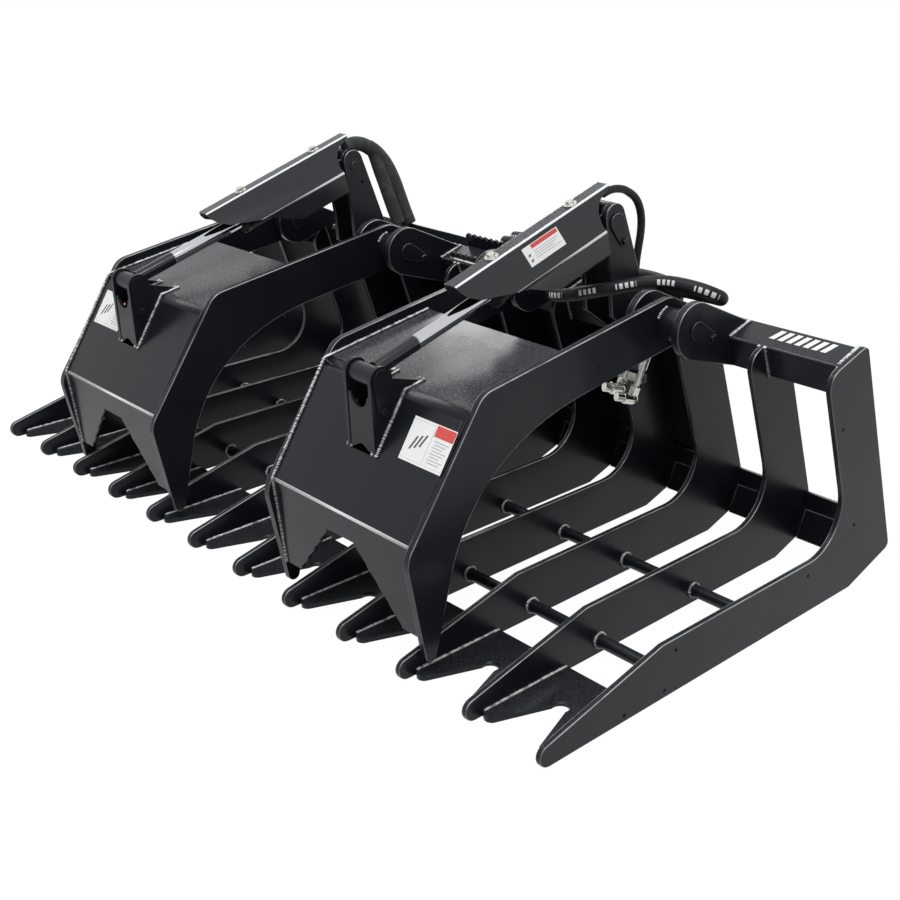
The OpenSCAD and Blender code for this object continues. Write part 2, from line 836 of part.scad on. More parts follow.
loop_d = 18;
sleeve_d = 40;
loop_right = [[484, 824, 780], [484, 841, 768], [484, 854, 752], [484, 863, 730], [484, 866, 706], [484, 864, 680],
  [484, 858, 652], [484, 852, 622], [484, 849, 592], [484, 849, 562], [484, 850, 534]];
loop_left = [[-450, 819, 768], [-448, 836, 756], [-444, 852, 738], [-438, 868, 711], [-430, 881, 674], [-422, 890, 635],
  [-414, 898, 597], [-406.5, 909.3, 555.4]];
module cylinder_hose_right() {
  color(rubber) hose(loop_right, loop_d, [1, 0, 0]);
}

module cylinder_hose_left() {
  color(rubber) hose(loop_left, sleeve_d, [1, 0, 0]);
}

tine(1);  // tine_1
tine(2);  // tine_2
tine(3);  // tine_3
tine(4);  // tine_4
tine(5);  // tine_5
tine(6);  // tine_6
tine(7);  // tine_7
tine(8);  // tine_8
tine(9);  // tine_9
tine(10);  // tine_10
tine(11);  // tine_11
tine(12);  // tine_12
front_edge_plate();
cross_bars();
rear_lip();
top_tube();
coupler_plate();
coupler_lower_lip();
step_plate();
hinge_brackets_right();
hinge_brackets_left();
cylinder_tower_right();
cylinder_tower_left();
hinge_pins_right();
hinge_pins_left();
base_pin_right();
base_pin_left();
frame_keeper_bolts();
lid_sides_right();
lid_hubs_right();
lid_cover_right();
lid_clevis_right();
rod_pin_right();
lid_sides_left();
lid_hubs_left();
lid_cover_left();
lid_clevis_left();
rod_pin_left();
piston_rod_right();
rod_eye_right();
piston_right();
piston_rod_left();
rod_eye_left();
piston_left();
barrel_right();
gland_right();
guard_right();
guard_posts_right();
guard_bolts_right();
barrel_left();
gland_left();
guard_left();
guard_posts_left();
guard_bolts_left();
elbow_fittings();
feed_hose();
cylinder_hose_right();
cylinder_hose_left();
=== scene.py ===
# Root grapple with two lids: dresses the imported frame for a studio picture
import bpy
import bmesh
import json
import math
from mathutils import Matrix, Vector


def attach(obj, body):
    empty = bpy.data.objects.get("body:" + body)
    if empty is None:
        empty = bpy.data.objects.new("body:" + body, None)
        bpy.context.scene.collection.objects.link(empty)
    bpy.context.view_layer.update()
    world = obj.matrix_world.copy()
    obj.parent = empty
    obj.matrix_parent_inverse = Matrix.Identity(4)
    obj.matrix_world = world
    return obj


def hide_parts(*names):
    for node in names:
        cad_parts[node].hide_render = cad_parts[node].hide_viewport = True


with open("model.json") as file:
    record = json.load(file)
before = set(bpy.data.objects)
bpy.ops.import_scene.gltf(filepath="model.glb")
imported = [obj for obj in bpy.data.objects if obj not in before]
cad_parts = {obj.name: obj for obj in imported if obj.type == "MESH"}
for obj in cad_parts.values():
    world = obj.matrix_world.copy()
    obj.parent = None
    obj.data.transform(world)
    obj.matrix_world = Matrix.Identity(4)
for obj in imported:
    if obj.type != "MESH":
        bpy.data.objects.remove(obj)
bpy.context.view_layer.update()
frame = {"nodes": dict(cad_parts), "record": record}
bodyOf = {}
for bodyName, nodeNames in frame["record"]["behaviour"]["bodies"].items():
    for nodeName in nodeNames:
        bodyOf[nodeName] = bodyName
print("frame loaded:", len(bodyOf), "nodes")

# Sizes in millimetres. Depths are measured from the tip line, as a tape would be laid along the floor.
middleDepth = 513.5
grapple = {
    "width": 2134, "tineThick": 12.7, "tineCount": 12, "lean": 16.9, "cornerY": 1030, "cornerZ": 58,
    "frontS": -123, "tubeS": -72.4, "tubeT": 505, "tubeSide": 76.2, "edgeTop": 11, "edgeRear": 238,
    "barD": 26.7, "frontBar": (329, 30), "middleBar": (614, 30), "lidOff": 12.1,
    "hinge": (705, 557), "base": (752, 730), "rodEnd": (105, 539), "fold": (11, 281), "coverTop": (161, 505),
    "ridge": (17.1, 74.5), "flangeFold": (56, 2.4), "guardTilt": 1.17,
}
tinePitch = (grapple["width"] - grapple["tineThick"]) / (grapple["tineCount"] - 1)
lidX = 2.5 * tinePitch - grapple["lidOff"]
lean = math.radians(grapple["lean"])
cylinderRun = (grapple["base"][0] - grapple["rodEnd"][0], grapple["base"][1] - grapple["rodEnd"][1])
cylinderTilt = math.atan2(cylinderRun[1], cylinderRun[0])
sides = {"right": 1, "left": -1}


def at(x, y, z):
    return Vector((x / 1000, (y - middleDepth) / 1000, z / 1000))


def leaning(x, s, t):
    y = grapple["cornerY"] + s * math.cos(lean) - t * math.sin(lean)
    z = grapple["cornerZ"] + s * math.sin(lean) + t * math.cos(lean)
    return at(x, y, z)


def onGuard(side, across, up, along):
    # the guard leans a little more than the cylinder under it
    a = cylinderTilt + math.radians(grapple["guardTilt"])
    y = grapple["base"][0] - along * math.cos(a) - up * math.sin(a)
    z = grapple["base"][1] - along * math.sin(a) + up * math.cos(a)
    return at(side * lidX + across, y, z)


def onFacet(x, s, proud=0.0):
    # the lid cover's sloping front: s runs up from the lower fold
    low, high = Vector(grapple["fold"]), Vector(grapple["coverTop"])
    run = (high - low).normalized()
    return at(x, low.x + s * run.x - proud * run.y, low.y + s * run.y + proud * run.x)


def tineLeft(i):
    return grapple["width"] / 2 - (i - 1) * tinePitch - grapple["tineThick"]


# camera
camera = {"azimuth": 46.87, "elevation": 22.34, "roll": -0.87, "place": (2.4148, -1.8100, 1.3851),
          "focal": 1316.9, "frameSide": 900, "centre": (528.4, 435.2), "sensor": 36}


def makeCamera():
    a, e = math.radians(camera["azimuth"]), math.radians(camera["elevation"])
    back = Vector((math.sin(a) * math.cos(e), -math.cos(a) * math.cos(e), math.sin(e)))
    right = (-back).cross(Vector((0, 0, 1))).normalized()
    up = right.cross(-back)
    c, s = math.cos(math.radians(camera["roll"])), math.sin(math.radians(camera["roll"]))
    turn = Matrix((c * right + s * up, -s * right + c * up, back)).transposed().to_4x4()
    data = bpy.data.cameras.new("photoCamera")
    data.sensor_width = camera["sensor"]
    data.lens = camera["focal"] / camera["frameSide"] * camera["sensor"]
    half = camera["frameSide"] / 2
    data.shift_x = (half - camera["centre"][0]) / camera["frameSide"]
    data.shift_y = (camera["centre"][1] - half) / camera["frameSide"]
    data.clip_end = 100
    rig = bpy.data.objects.new("photoCamera", data)
    rig.matrix_world = Matrix.Translation(camera["place"]) @ turn
    bpy.context.scene.collection.objects.link(rig)
    bpy.context.scene.camera = rig


makeCamera()
print("camera placed")


# shader helpers
def add(tree, kind, values=None, **settings):
    item = tree.nodes.new(kind)
    for key, value in settings.items():
        setattr(item, key, value)
    for key, value in (values or {}).items():
        item.inputs[key].default_value = value
    return item


def join(tree, *pairs):
    for source, target in pairs:
        tree.links.new(source, target)


def newGroup(name, inputs, outputs):
    group = bpy.data.node_groups.new(name, "ShaderNodeTree")
    for label, kind, value in inputs:
        socket = group.interface.new_socket(label, in_out="INPUT", socket_type=kind)
        if value is not None:
            socket.default_value = value
    for label, kind in outputs:
        group.interface.new_socket(label, in_out="OUTPUT", socket_type=kind)
    return group, group.nodes.new("NodeGroupInput"), group.nodes.new("NodeGroupOutput")


def paintSkinGroup():
    # orange peel height, a slow gloss change and fine dust that settles on faces that look up
    group, given, out = newGroup(
        "paintSkin",
        [("Place", "NodeSocketVector", None), ("Peel Scale", "NodeSocketFloat", 220.0),
         ("Gloss Low", "NodeSocketFloat", 0.3), ("Gloss High", "NodeSocketFloat", 0.45),
         ("Dust Amount", "NodeSocketFloat", 0.5), ("Dust Scale", "NodeSocketFloat", 600.0)],
        [("Height", "NodeSocketFloat"), ("Roughness", "NodeSocketFloat"), ("Dust", "NodeSocketFloat")])
    peel = add(group, "ShaderNodeTexNoise", {"Detail": 2.0, "Roughness": 0.5})
    cloud = add(group, "ShaderNodeTexNoise", {"Scale": 6.0, "Detail": 5.0, "Roughness": 0.6})
    gloss = add(group, "ShaderNodeMapRange", {"From Min": 0.35, "From Max": 0.65})
    speck = add(group, "ShaderNodeTexNoise", {"Detail": 3.0, "Roughness": 0.7})
    grains = add(group, "ShaderNodeMapRange", {"From Min": 0.5, "From Max": 0.72})
    geometry = add(group, "ShaderNodeNewGeometry")
    split = add(group, "ShaderNodeSeparateXYZ")
    upward = add(group, "ShaderNodeMapRange", {"From Min": 0.55, "From Max": 1.0})
    cover = add(group, "ShaderNodeMath", operation="MULTIPLY")
    amount = add(group, "ShaderNodeMath", operation="MULTIPLY")
    join(group, (given.outputs["Place"], peel.inputs["Vector"]),
         (given.outputs["Peel Scale"], peel.inputs["Scale"]),
         (given.outputs["Place"], cloud.inputs["Vector"]), (cloud.outputs["Fac"], gloss.inputs["Value"]),
         (given.outputs["Gloss Low"], gloss.inputs["To Min"]),
         (given.outputs["Gloss High"], gloss.inputs["To Max"]),
         (given.outputs["Place"], speck.inputs["Vector"]),
         (given.outputs["Dust Scale"], speck.inputs["Scale"]),
         (speck.outputs["Fac"], grains.inputs["Value"]),
         (geometry.outputs["Normal"], split.inputs["Vector"]), (split.outputs["Z"], upward.inputs["Value"]),
         (grains.outputs["Result"], cover.inputs[0]), (upward.outputs["Result"], cover.inputs[1]),
         (cover.outputs["Value"], amount.inputs[0]), (given.outputs["Dust Amount"], amount.inputs[1]),
         (peel.outputs["Fac"], out.inputs["Height"]), (gloss.outputs["Result"], out.inputs["Roughness"]),
         (amount.outputs["Value"], out.inputs["Dust"]))
    return group


def glintGroup():
    # painted highlight: a mask that lightens the colour where rounded edges and weld ripples face up toward the
    # light, broken up a little
    group, given, out = newGroup(
        "glint",
        [("Place", "NodeSocketVector", None), ("Start", "NodeSocketFloat", 0.2),
         ("Full", "NodeSocketFloat", 0.7), ("Break Scale", "NodeSocketFloat", 40.0),
         ("Break", "NodeSocketFloat", 0.5)],
        [("Glint", "NodeSocketFloat")])
    geometry = add(group, "ShaderNodeNewGeometry")
    split = add(group, "ShaderNodeSeparateXYZ")
    upward = add(group, "ShaderNodeMapRange", interpolation_type="SMOOTHSTEP")
    noise = add(group, "ShaderNodeTexNoise", {"Detail": 3.0})
    gaps = add(group, "ShaderNodeMapRange", {"From Min": 0.36, "From Max": 0.52})
    floorLevel = add(group, "ShaderNodeMath", {0: 1.0}, operation="SUBTRACT")
    both = add(group, "ShaderNodeMath", operation="MULTIPLY")
    join(group, (geometry.outputs["Normal"], split.inputs["Vector"]),
         (split.outputs["Z"], upward.inputs["Value"]), (given.outputs["Start"], upward.inputs["From Min"]),
         (given.outputs["Full"], upward.inputs["From Max"]),
         (given.outputs["Place"], noise.inputs["Vector"]),
         (given.outputs["Break Scale"], noise.inputs["Scale"]),
         (noise.outputs["Fac"], gaps.inputs["Value"]), (given.outputs["Break"], floorLevel.inputs[1]),
         (floorLevel.outputs["Value"], gaps.inputs["To Min"]), (upward.outputs["Result"], both.inputs[0]),
         (gaps.outputs["Result"], both.inputs[1]), (both.outputs["Value"], out.inputs["Glint"]))
    return group


paintSkin = paintSkinGroup()
glint = glintGroup()


def newMaterial(name):
    material = bpy.data.materials.new(name)
    material.use_nodes = True
    tree = material.node_tree
    tree.nodes.clear()
    shader = tree.nodes.new("ShaderNodeBsdfPrincipled")
    surface = tree.nodes.new("ShaderNodeOutputMaterial")
    join(tree, (shader.outputs["BSDF"], surface.inputs["Surface"]))
    place = tree.nodes.new("ShaderNodeTexCoord")
    return material, tree, shader, place.outputs["Object"]


def paintMaterial(name, tone, gloss, dust=0.0, dustTone=(0.2, 0.21, 0.22, 1), shine=0.2, coat=0.06, peel=0.12):
    # shine is the specular level, coat the weight of the clear layer, peel the strength of the orange peel
    material, tree, shader, place = newMaterial(name)
    skin = add(tree, "ShaderNodeGroup", node_tree=paintSkin)
    skin.inputs["Gloss Low"].default_value = gloss[0]
    skin.inputs["Gloss High"].default_value = gloss[1]
    skin.inputs["Dust Amount"].default_value = dust
    colour = add(tree, "ShaderNodeMix", data_type="RGBA")
    colour.inputs["A"].default_value = tone
    colour.inputs["B"].default_value = dustTone
    bump = add(tree, "ShaderNodeBump", {"Strength": peel, "Distance": 0.0006})
    join(tree, (place, skin.inputs["Place"]), (skin.outputs["Dust"], colour.inputs["Factor"]),
         (colour.outputs["Result"], shader.inputs["Base Color"]),
         (skin.outputs["Roughness"], shader.inputs["Roughness"]),
         (skin.outputs["Height"], bump.inputs["Height"]), (bump.outputs["Normal"], shader.inputs["Normal"]))
    shader.inputs["Specular IOR Level"].default_value = shine
    shader.inputs["Coat Weight"].default_value = coat
    shader.inputs["Coat Roughness"].default_value = 0.12
    return material


def paintedHighlightMaterial(name, tone, lit, rise, breakUp, roughness=0.25, peel=0.0):
    # paint on a rounded edge or a weld bead with a painted highlight: its colour turns lighter where it faces
    # up to the sky
    material, tree, shader, place = newMaterial(name)
    mask = add(tree, "ShaderNodeGroup", node_tree=glint)
    for label, value in zip(("Start", "Full", "Break Scale", "Break"), (*rise, *breakUp)):
        mask.inputs[label].default_value = value
    colour = add(tree, "ShaderNodeMix", data_type="RGBA")
    colour.inputs["A"].default_value = tone
    colour.inputs["B"].default_value = lit
    join(tree, (place, mask.inputs["Place"]), (mask.outputs["Glint"], colour.inputs["Factor"]),
         (colour.outputs["Result"], shader.inputs["Base Color"]))
    shader.inputs["Roughness"].default_value = roughness
    shader.inputs["Coat Weight"].default_value = 0.6
    shader.inputs["Coat Roughness"].default_value = 0.1
    if peel:
        ripple = add(tree, "ShaderNodeTexNoise", {"Scale": 300.0, "Detail": 3.0})
        bump = add(tree, "ShaderNodeBump", {"Strength": peel, "Distance": 0.001})
        join(tree, (place, ripple.inputs["Vector"]), (ripple.outputs["Fac"], bump.inputs["Height"]),
             (bump.outputs["Normal"], shader.inputs["Normal"]))
    return material


def plainMaterial(name, tone, roughness=0.5):
    material, tree, shader, place = newMaterial(name)
    noise = add(tree, "ShaderNodeTexNoise", {"Scale": 30.0, "Detail": 4.0})
    gloss = add(tree, "ShaderNodeMapRange", {"From Min": 0.3, "From Max": 0.7, "To Min": roughness - 0.08,
                                             "To Max": roughness + 0.08})
    join(tree, (place, noise.inputs["Vector"]), (noise.outputs["Fac"], gloss.inputs["Value"]),
         (gloss.outputs["Result"], shader.inputs["Roughness"]))
    shader.inputs["Base Color"].default_value = tone
    return material


def rodMaterial(name):
    # hard chrome, sprayed over with the black paint near the clevis
    material, tree, shader, place = newMaterial(name)
    axis = (0, math.cos(cylinderTilt), math.sin(cylinderTilt))
    along = add(tree, "ShaderNodeVectorMath", {1: axis}, operation="DOT_PRODUCT")
    ragged = add(tree, "ShaderNodeTexNoise", {"Scale": 60.0, "Detail": 4.0})
    shift = add(tree, "ShaderNodeMath", {1: rodPaint["ragged"]}, operation="MULTIPLY")
    total = add(tree, "ShaderNodeMath", operation="ADD")
    edge = rodPaint["overspray"]
    mask = add(tree, "ShaderNodeMapRange", {"From Min": edge, "From Max": edge + rodPaint["fade"]})
    colour = add(tree, "ShaderNodeMix", data_type="RGBA")
    colour.inputs["A"].default_value = rodPaint["black"]
    colour.inputs["B"].default_value = rodPaint["chrome"]
    gloss = add(tree, "ShaderNodeMapRange", {"To Min": rodPaint["blackGloss"],
                                             "To Max": rodPaint["chromeGloss"]})
    join(tree, (place, along.inputs[0]), (place, ragged.inputs["Vector"]),
         (ragged.outputs["Fac"], shift.inputs[0]), (along.outputs["Value"], total.inputs[0]),
         (shift.outputs["Value"], total.inputs[1]), (total.outputs["Value"], mask.inputs["Value"]),
         (mask.outputs["Result"], colour.inputs["Factor"]),
         (colour.outputs["Result"], shader.inputs["Base Color"]),
         (mask.outputs["Result"], shader.inputs["Metallic"]),
         (mask.outputs["Result"], gloss.inputs["Value"]),
         (gloss.outputs["Result"], shader.inputs["Roughness"]))
    return material


def metalMaterial(name, tone, roughness, grain=(400, 400, 40), depth=0.08):
    material, tree, shader, place = newMaterial(name)
    stretch = add(tree, "ShaderNodeMapping")
    stretch.inputs["Scale"].default_value = grain
    noise = add(tree, "ShaderNodeTexNoise", {"Scale": 1.0, "Detail": 4.0})
    gloss = add(tree, "ShaderNodeMapRange", {"From Min": 0.3, "From Max": 0.7, "To Min": roughness[0],
                                             "To Max": roughness[1]})
    bump = add(tree, "ShaderNodeBump", {"Strength": depth, "Distance": 0.0004})
    join(tree, (place, stretch.inputs["Vector"]), (stretch.outputs["Vector"], noise.inputs["Vector"]),
         (noise.outputs["Fac"], gloss.inputs["Value"]),
         (gloss.outputs["Result"], shader.inputs["Roughness"]),
         (noise.outputs["Fac"], bump.inputs["Height"]), (bump.outputs["Normal"], shader.inputs["Normal"]))
    shader.inputs["Base Color"].default_value = tone
    shader.inputs["Metallic"].default_value = 1.0
    return material


def sleeveMaterial(name, tone, lit):
    # woven nylon sleeve: fine strands along and round the hose
    material, tree, shader, place = newMaterial(name)
    turns = add(tree, "ShaderNodeUVMap", uv_map="along")
    size = add(tree, "ShaderNodeMapping")
    size.inputs["Scale"].default_value = (26, 330, 1)
    weave = add(tree, "ShaderNodeTexChecker", {"Scale": 1.0})
    patch = add(tree, "ShaderNodeTexNoise", {"Scale": 34.0, "Detail": 4.0})
    amount = add(tree, "ShaderNodeMapRange", {"From Min": 0.42, "From Max": 0.66})
    share = add(tree, "ShaderNodeMath", operation="MULTIPLY")
    colour = add(tree, "ShaderNodeMix", data_type="RGBA")
    colour.inputs["A"].default_value = tone
    colour.inputs["B"].default_value = lit
    bump = add(tree, "ShaderNodeBump", {"Strength": 0.5, "Distance": 0.0008})
    join(tree, (turns.outputs["UV"], size.inputs["Vector"]),
         (size.outputs["Vector"], weave.inputs["Vector"]), (place, patch.inputs["Vector"]),
         (patch.outputs["Fac"], amount.inputs["Value"]), (amount.outputs["Result"], share.inputs[0]),
         (weave.outputs["Fac"], share.inputs[1]), (share.outputs["Value"], colour.inputs["Factor"]),
         (colour.outputs["Result"], shader.inputs["Base Color"]),
         (weave.outputs["Fac"], bump.inputs["Height"]), (bump.outputs["Normal"], shader.inputs["Normal"]))
    shader.inputs["Roughness"].default_value = 0.75
    return material


def rubberMaterial(name, tone, ink=None):
    material, tree, shader, place = newMaterial(name)
    noise = add(tree, "ShaderNodeTexNoise", {"Scale": 90.0, "Detail": 6.0})
    gloss = add(tree, "ShaderNodeMapRange", {"From Min": 0.3, "From Max": 0.7, "To Min": 0.42, "To Max": 0.6})
    bump = add(tree, "ShaderNodeBump", {"Strength": 0.15, "Distance": 0.0005})
    join(tree, (place, noise.inputs["Vector"]), (noise.outputs["Fac"], gloss.inputs["Value"]),
         (gloss.outputs["Result"], shader.inputs["Roughness"]),
         (noise.outputs["Fac"], bump.inputs["Height"]), (bump.outputs["Normal"], shader.inputs["Normal"]))
    shader.inputs["Base Color"].default_value = tone
    shader.inputs["Specular IOR Level"].default_value = 0.25
    if not ink:
        return material
    # plain bars in groups along one side, like a printed metre scale
    spot = add(tree, "ShaderNodeUVMap", uv_map="along")
    split = add(tree, "ShaderNodeSeparateXYZ")
    join(tree, (spot.outputs["UV"], split.inputs["Vector"]))
    masks = []
    for axis, size, start, share in (("X", 1.0, ink["start"], ink["band"]),
                                     ("Y", ink["group"], ink["first"], ink["groupShare"]),
                                     ("Y", ink["bar"], 0.0, ink["barShare"])):
        moved = add(tree, "ShaderNodeMath", {1: start}, operation="SUBTRACT")
        turns = add(tree, "ShaderNodeMath", {1: size}, operation="DIVIDE")
        part = add(tree, "ShaderNodeMath", operation="FRACT")
        inside = add(tree, "ShaderNodeMath", {1: share}, operation="LESS_THAN")
        join(tree, (split.outputs[axis], moved.inputs[0]), (moved.outputs["Value"], turns.inputs[0]),
             (turns.outputs["Value"], part.inputs[0]), (part.outputs["Value"], inside.inputs[0]))
        masks.append(inside)
    pair = add(tree, "ShaderNodeMath", operation="MULTIPLY")
    full = add(tree, "ShaderNodeMath", operation="MULTIPLY")
    colour = add(tree, "ShaderNodeMix", data_type="RGBA")
    colour.inputs["A"].default_value = tone
    colour.inputs["B"].default_value = ink["tone"]
    join(tree, (masks[0].outputs["Value"], pair.inputs[0]), (masks[1].outputs["Value"], pair.inputs[1]),
         (pair.outputs["Value"], full.inputs[0]), (masks[2].outputs["Value"], full.inputs[1]),
         (full.outputs["Value"], colour.inputs["Factor"]),
         (colour.outputs["Result"], shader.inputs["Base Color"]))
    return material


black = (0.0085, 0.0105, 0.015, 1)
guardBlack = (0.02, 0.0225, 0.027, 1)
edgeBlack = (0.02, 0.022, 0.025, 1)
foldBlack = (0.05, 0.055, 0.065, 1)
rubberBlack = (0.008, 0.009, 0.011, 1)
# overspray is where the black ends, in metres along the cylinder's axis from the origin
rodPaint = {"overspray": -0.1125, "fade": 0.004, "ragged": 0.006, "black": black,
            "chrome": (0.55, 0.57, 0.6, 1), "blackGloss": 0.13, "chromeGloss": 0.06}
# start and band are shares of the way round the hose, group, first and bar are metres along it, and the
# two shares say how much of a group or a bar is printed
hosePrint = {"start": 0.28, "band": 0.13, "group": 0.09, "first": 0.088, "groupShare": 0.5, "bar": 0.012,
             "barShare": 0.6, "tone": (0.75, 0.76, 0.77, 1)}
materials = {
    "framePaint": paintMaterial("framePaint", black, (0.26, 0.4), dust=0.6),
    "lidPaint": paintMaterial("lidPaint", black, (0.24, 0.38), dust=0.2),
    "coverPaint": paintMaterial("coverPaint", black, (0.2, 0.3), dust=1.0, dustTone=(0.34, 0.35, 0.36, 1)),
    "guardPaint": paintMaterial("guardPaint", guardBlack, (0.14, 0.22), shine=0.34, coat=0.1, peel=0.03),
    # black paint on edges, folds and welds, each with a painted highlight that lightens it where it faces up
    "edgePaintWithHighlight": paintedHighlightMaterial("edgePaintWithHighlight", edgeBlack, (0.5, 0.51, 0.52, 1), (0.25, 0.75), (14.0, 0.7)),
    "foldPaintWithHighlight": paintedHighlightMaterial("foldPaintWithHighlight", foldBlack, (0.95, 0.97, 1.0, 1), (-0.3, 0.1), (9.0, 0.1)),
    "weldPaintWithHighlight": paintedHighlightMaterial("weldPaintWithHighlight", edgeBlack, (0.9, 0.91, 0.92, 1), (0.15, 0.8), (60.0, 0.8),
                                roughness=0.18, peel=0.4),
    "zinc": metalMaterial("zinc", (0.6, 0.6, 0.57, 1), (0.12, 0.26)),
    "chrome": metalMaterial("chrome", (0.82, 0.83, 0.85, 1), (0.06, 0.16), grain=(60, 60, 60), depth=0.02),
    "rod": rodMaterial("rod"),
    "hoseRubber": rubberMaterial("hoseRubber", rubberBlack),
    "printedHose": rubberMaterial("printedHose", rubberBlack, hosePrint),
    "sleeve": sleeveMaterial("sleeve", (0.02, 0.022, 0.024, 1), (0.09, 0.092, 0.09, 1)),
    "vinylWhite": plainMaterial("vinylWhite", (0.95, 0.95, 0.95, 1), 0.35),
    "vinylRed": plainMaterial("vinylRed", (0.72, 0.08, 0.07, 1), 0.35),
    "vinylInk": plainMaterial("vinylInk", (0.1, 0.1, 0.105, 1), 0.35),
    "vinylGrey": plainMaterial("vinylGrey", (0.55, 0.55, 0.56, 1), 0.35),
}
print("materials made:", len(materials))


# dressing the plates: clean copies of the CAD solids with broken edges, most of which carry a painted highlight
def settled(piece):
    # apply the modifiers and keep the result as a plain mesh
    graph = bpy.context.evaluated_depsgraph_get()
    mesh = bpy.data.meshes.new_from_object(piece.evaluated_get(graph))
    piece.modifiers.clear()
    piece.data = mesh
    return piece


def newPiece(name, mesh, names, body):
    piece = bpy.data.objects.new(name, mesh)
    bpy.context.scene.collection.objects.link(piece)
    if not mesh.materials:
        for material in names:
            mesh.materials.append(materials[material])
    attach(piece, body)
    return piece


def edgeAngle(edge):
    return edge.calc_face_angle(0.0) if len(edge.link_faces) == 2 else 0.0


# bends between these two angles, in degrees, are folds of the sheet
flattest, steepest = 12, 66


def dress(nodeName, material, slot, edgeBreak=1.4, folds=(), sharpest=28, shortest=0, lit="edgePaintWithHighlight"):
    # folds: height band in millimetres, radius, shortest edge taken, and whether the fold gets a painted
    # highlight.
    # A plate with folds has flat bends as well, so there only its steeper edges are broken.
    bm = bmesh.new()
    bm.from_mesh(frame["nodes"][nodeName].data)
    bmesh.ops.remove_doubles(bm, verts=bm.verts, dist=0.00001)
    bmesh.ops.dissolve_limit(bm, angle_limit=math.radians(0.5), verts=bm.verts, edges=bm.edges)
    for low, high, radius, least, paintedHighlight in folds:
        bent = [e for e in bm.edges if flattest < math.degrees(edgeAngle(e)) < steepest
                and e.calc_length() > least / 1000
                and low < 1000 * (e.verts[0].co.z + e.verts[1].co.z) / 2 < high]
        bmesh.ops.bevel(bm, geom=bent, offset=radius / 1000, segments=4, profile=0.5, affect="EDGES",
                        clamp_overlap=not paintedHighlight, material=2 if paintedHighlight else 0)
    bluntest = steepest if folds else sharpest
    # broken edges take the lit material, which on painted plates is a painted highlight
    broken = [e for e in bm.edges if math.degrees(edgeAngle(e)) > bluntest
              and e.calc_length() > shortest / 1000]
    bmesh.ops.bevel(bm, geom=broken, offset=edgeBreak / 1000, segments=2, profile=0.5, affect="EDGES",
                    clamp_overlap=True, material=1)
    for face in bm.faces:
        face.smooth = True
    mesh = bpy.data.meshes.new(nodeName + "_dressed")
    bm.to_mesh(mesh)
    bm.free()
    piece = newPiece(nodeName + "_dressed", mesh, (material, lit, "foldPaintWithHighlight"), bodyOf[nodeName])
    weighted = piece.modifiers.new("flatFaces", "WEIGHTED_NORMAL")
    weighted.weight = 90
    settled(piece)
    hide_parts(nodeName)
    return piece


# a fold's last value gives it the painted highlight
dressing = {
    "plates": {"edgeBreak": 1.9, "shortest": 3}, "small": {"edgeBreak": 0.8},
    "tube": {"edgeBreak": 2.4, "sharpest": 20, "shortest": 60},
    "cover": {"edgeBreak": 1.2, "shortest": 60,
              "folds": ((268, 294, 3.6, 300, True), (484, 515, 16, 300, False))},
    "guard": {"edgeBreak": 0.9, "shortest": 14, "folds": ((0, 1000, 3.2, 150, True),)},
    "bolts": {"edgeBreak": 0.8, "lit": "zinc"},
}
framePlates = ["front_edge_plate", "step_plate", "hinge_brackets_right", "hinge_brackets_left",
               "cylinder_tower_right", "cylinder_tower_left", "coupler_plate", "coupler_lower_lip"]
framePlates += ["tine_%d" % i for i in range(1, grapple["tineCount"] + 1)]
for name in framePlates:
    dress(name, "framePaint", "frame_paint", **dressing["plates"])
for name in ("rear_lip", "top_tube", "cross_bars"):
    dress(name, "framePaint", "frame_paint", **dressing["tube"])
for name in ("hinge_pins_right", "hinge_pins_left", "base_pin_right", "base_pin_left", "frame_keeper_bolts"):
    dress(name, "framePaint", "frame_paint", **dressing["small"])
dress("elbow_fittings", "zinc", "zinc", **dressing["bolts"])
for side in sides:
    dress("lid_sides_" + side, "lidPaint", "lid_paint", **dressing["plates"])
    dress("lid_cover_" + side, "coverPaint", "lid_paint", **dressing["cover"])
    dress("lid_clevis_" + side, "lidPaint", "lid_paint", **dressing["plates"])
    dress("guard_" + side, "guardPaint", "cylinder_paint", **dressing["guard"])
    dress("guard_bolts_" + side, "zinc", "zinc", **dressing["bolts"])
    for name in ("lid_hubs_", "rod_pin_", "rod_eye_"):
        dress(name + side, "lidPaint", "lid_paint", **dressing["small"])
    for name in ("barrel_", "gland_", "guard_posts_"):
        dress(name + side, "framePaint", "cylinder_paint", **dressing["small"])
    for name, material in (("piston_", "chrome"), ("piston_rod_", "rod")):
        frame["nodes"][name + side].data.materials.clear()
        frame["nodes"][name + side].data.materials.append(materials[material])
print("plates dressed")


# hoses
def smoothRoute(points, perSpan=6):
    # a smooth line through given points
    fine = []
    last = len(points) - 1
    for i in range(last):
        p0, p1, p2, p3 = (points[max(i - 1, 0)], points[i], points[i + 1], points[min(i + 2, last)])
        for k in range(perSpan):
            u = k / perSpan
            fine.append(0.5 * ((2 * p1) + (p2 - p0) * u + (2 * p0 - 5 * p1 + 4 * p2 - p3) * u * u
                               + (3 * p1 - p0 - 3 * p2 + p3) * u ** 3))
    fine.append(points[last])
    return fine


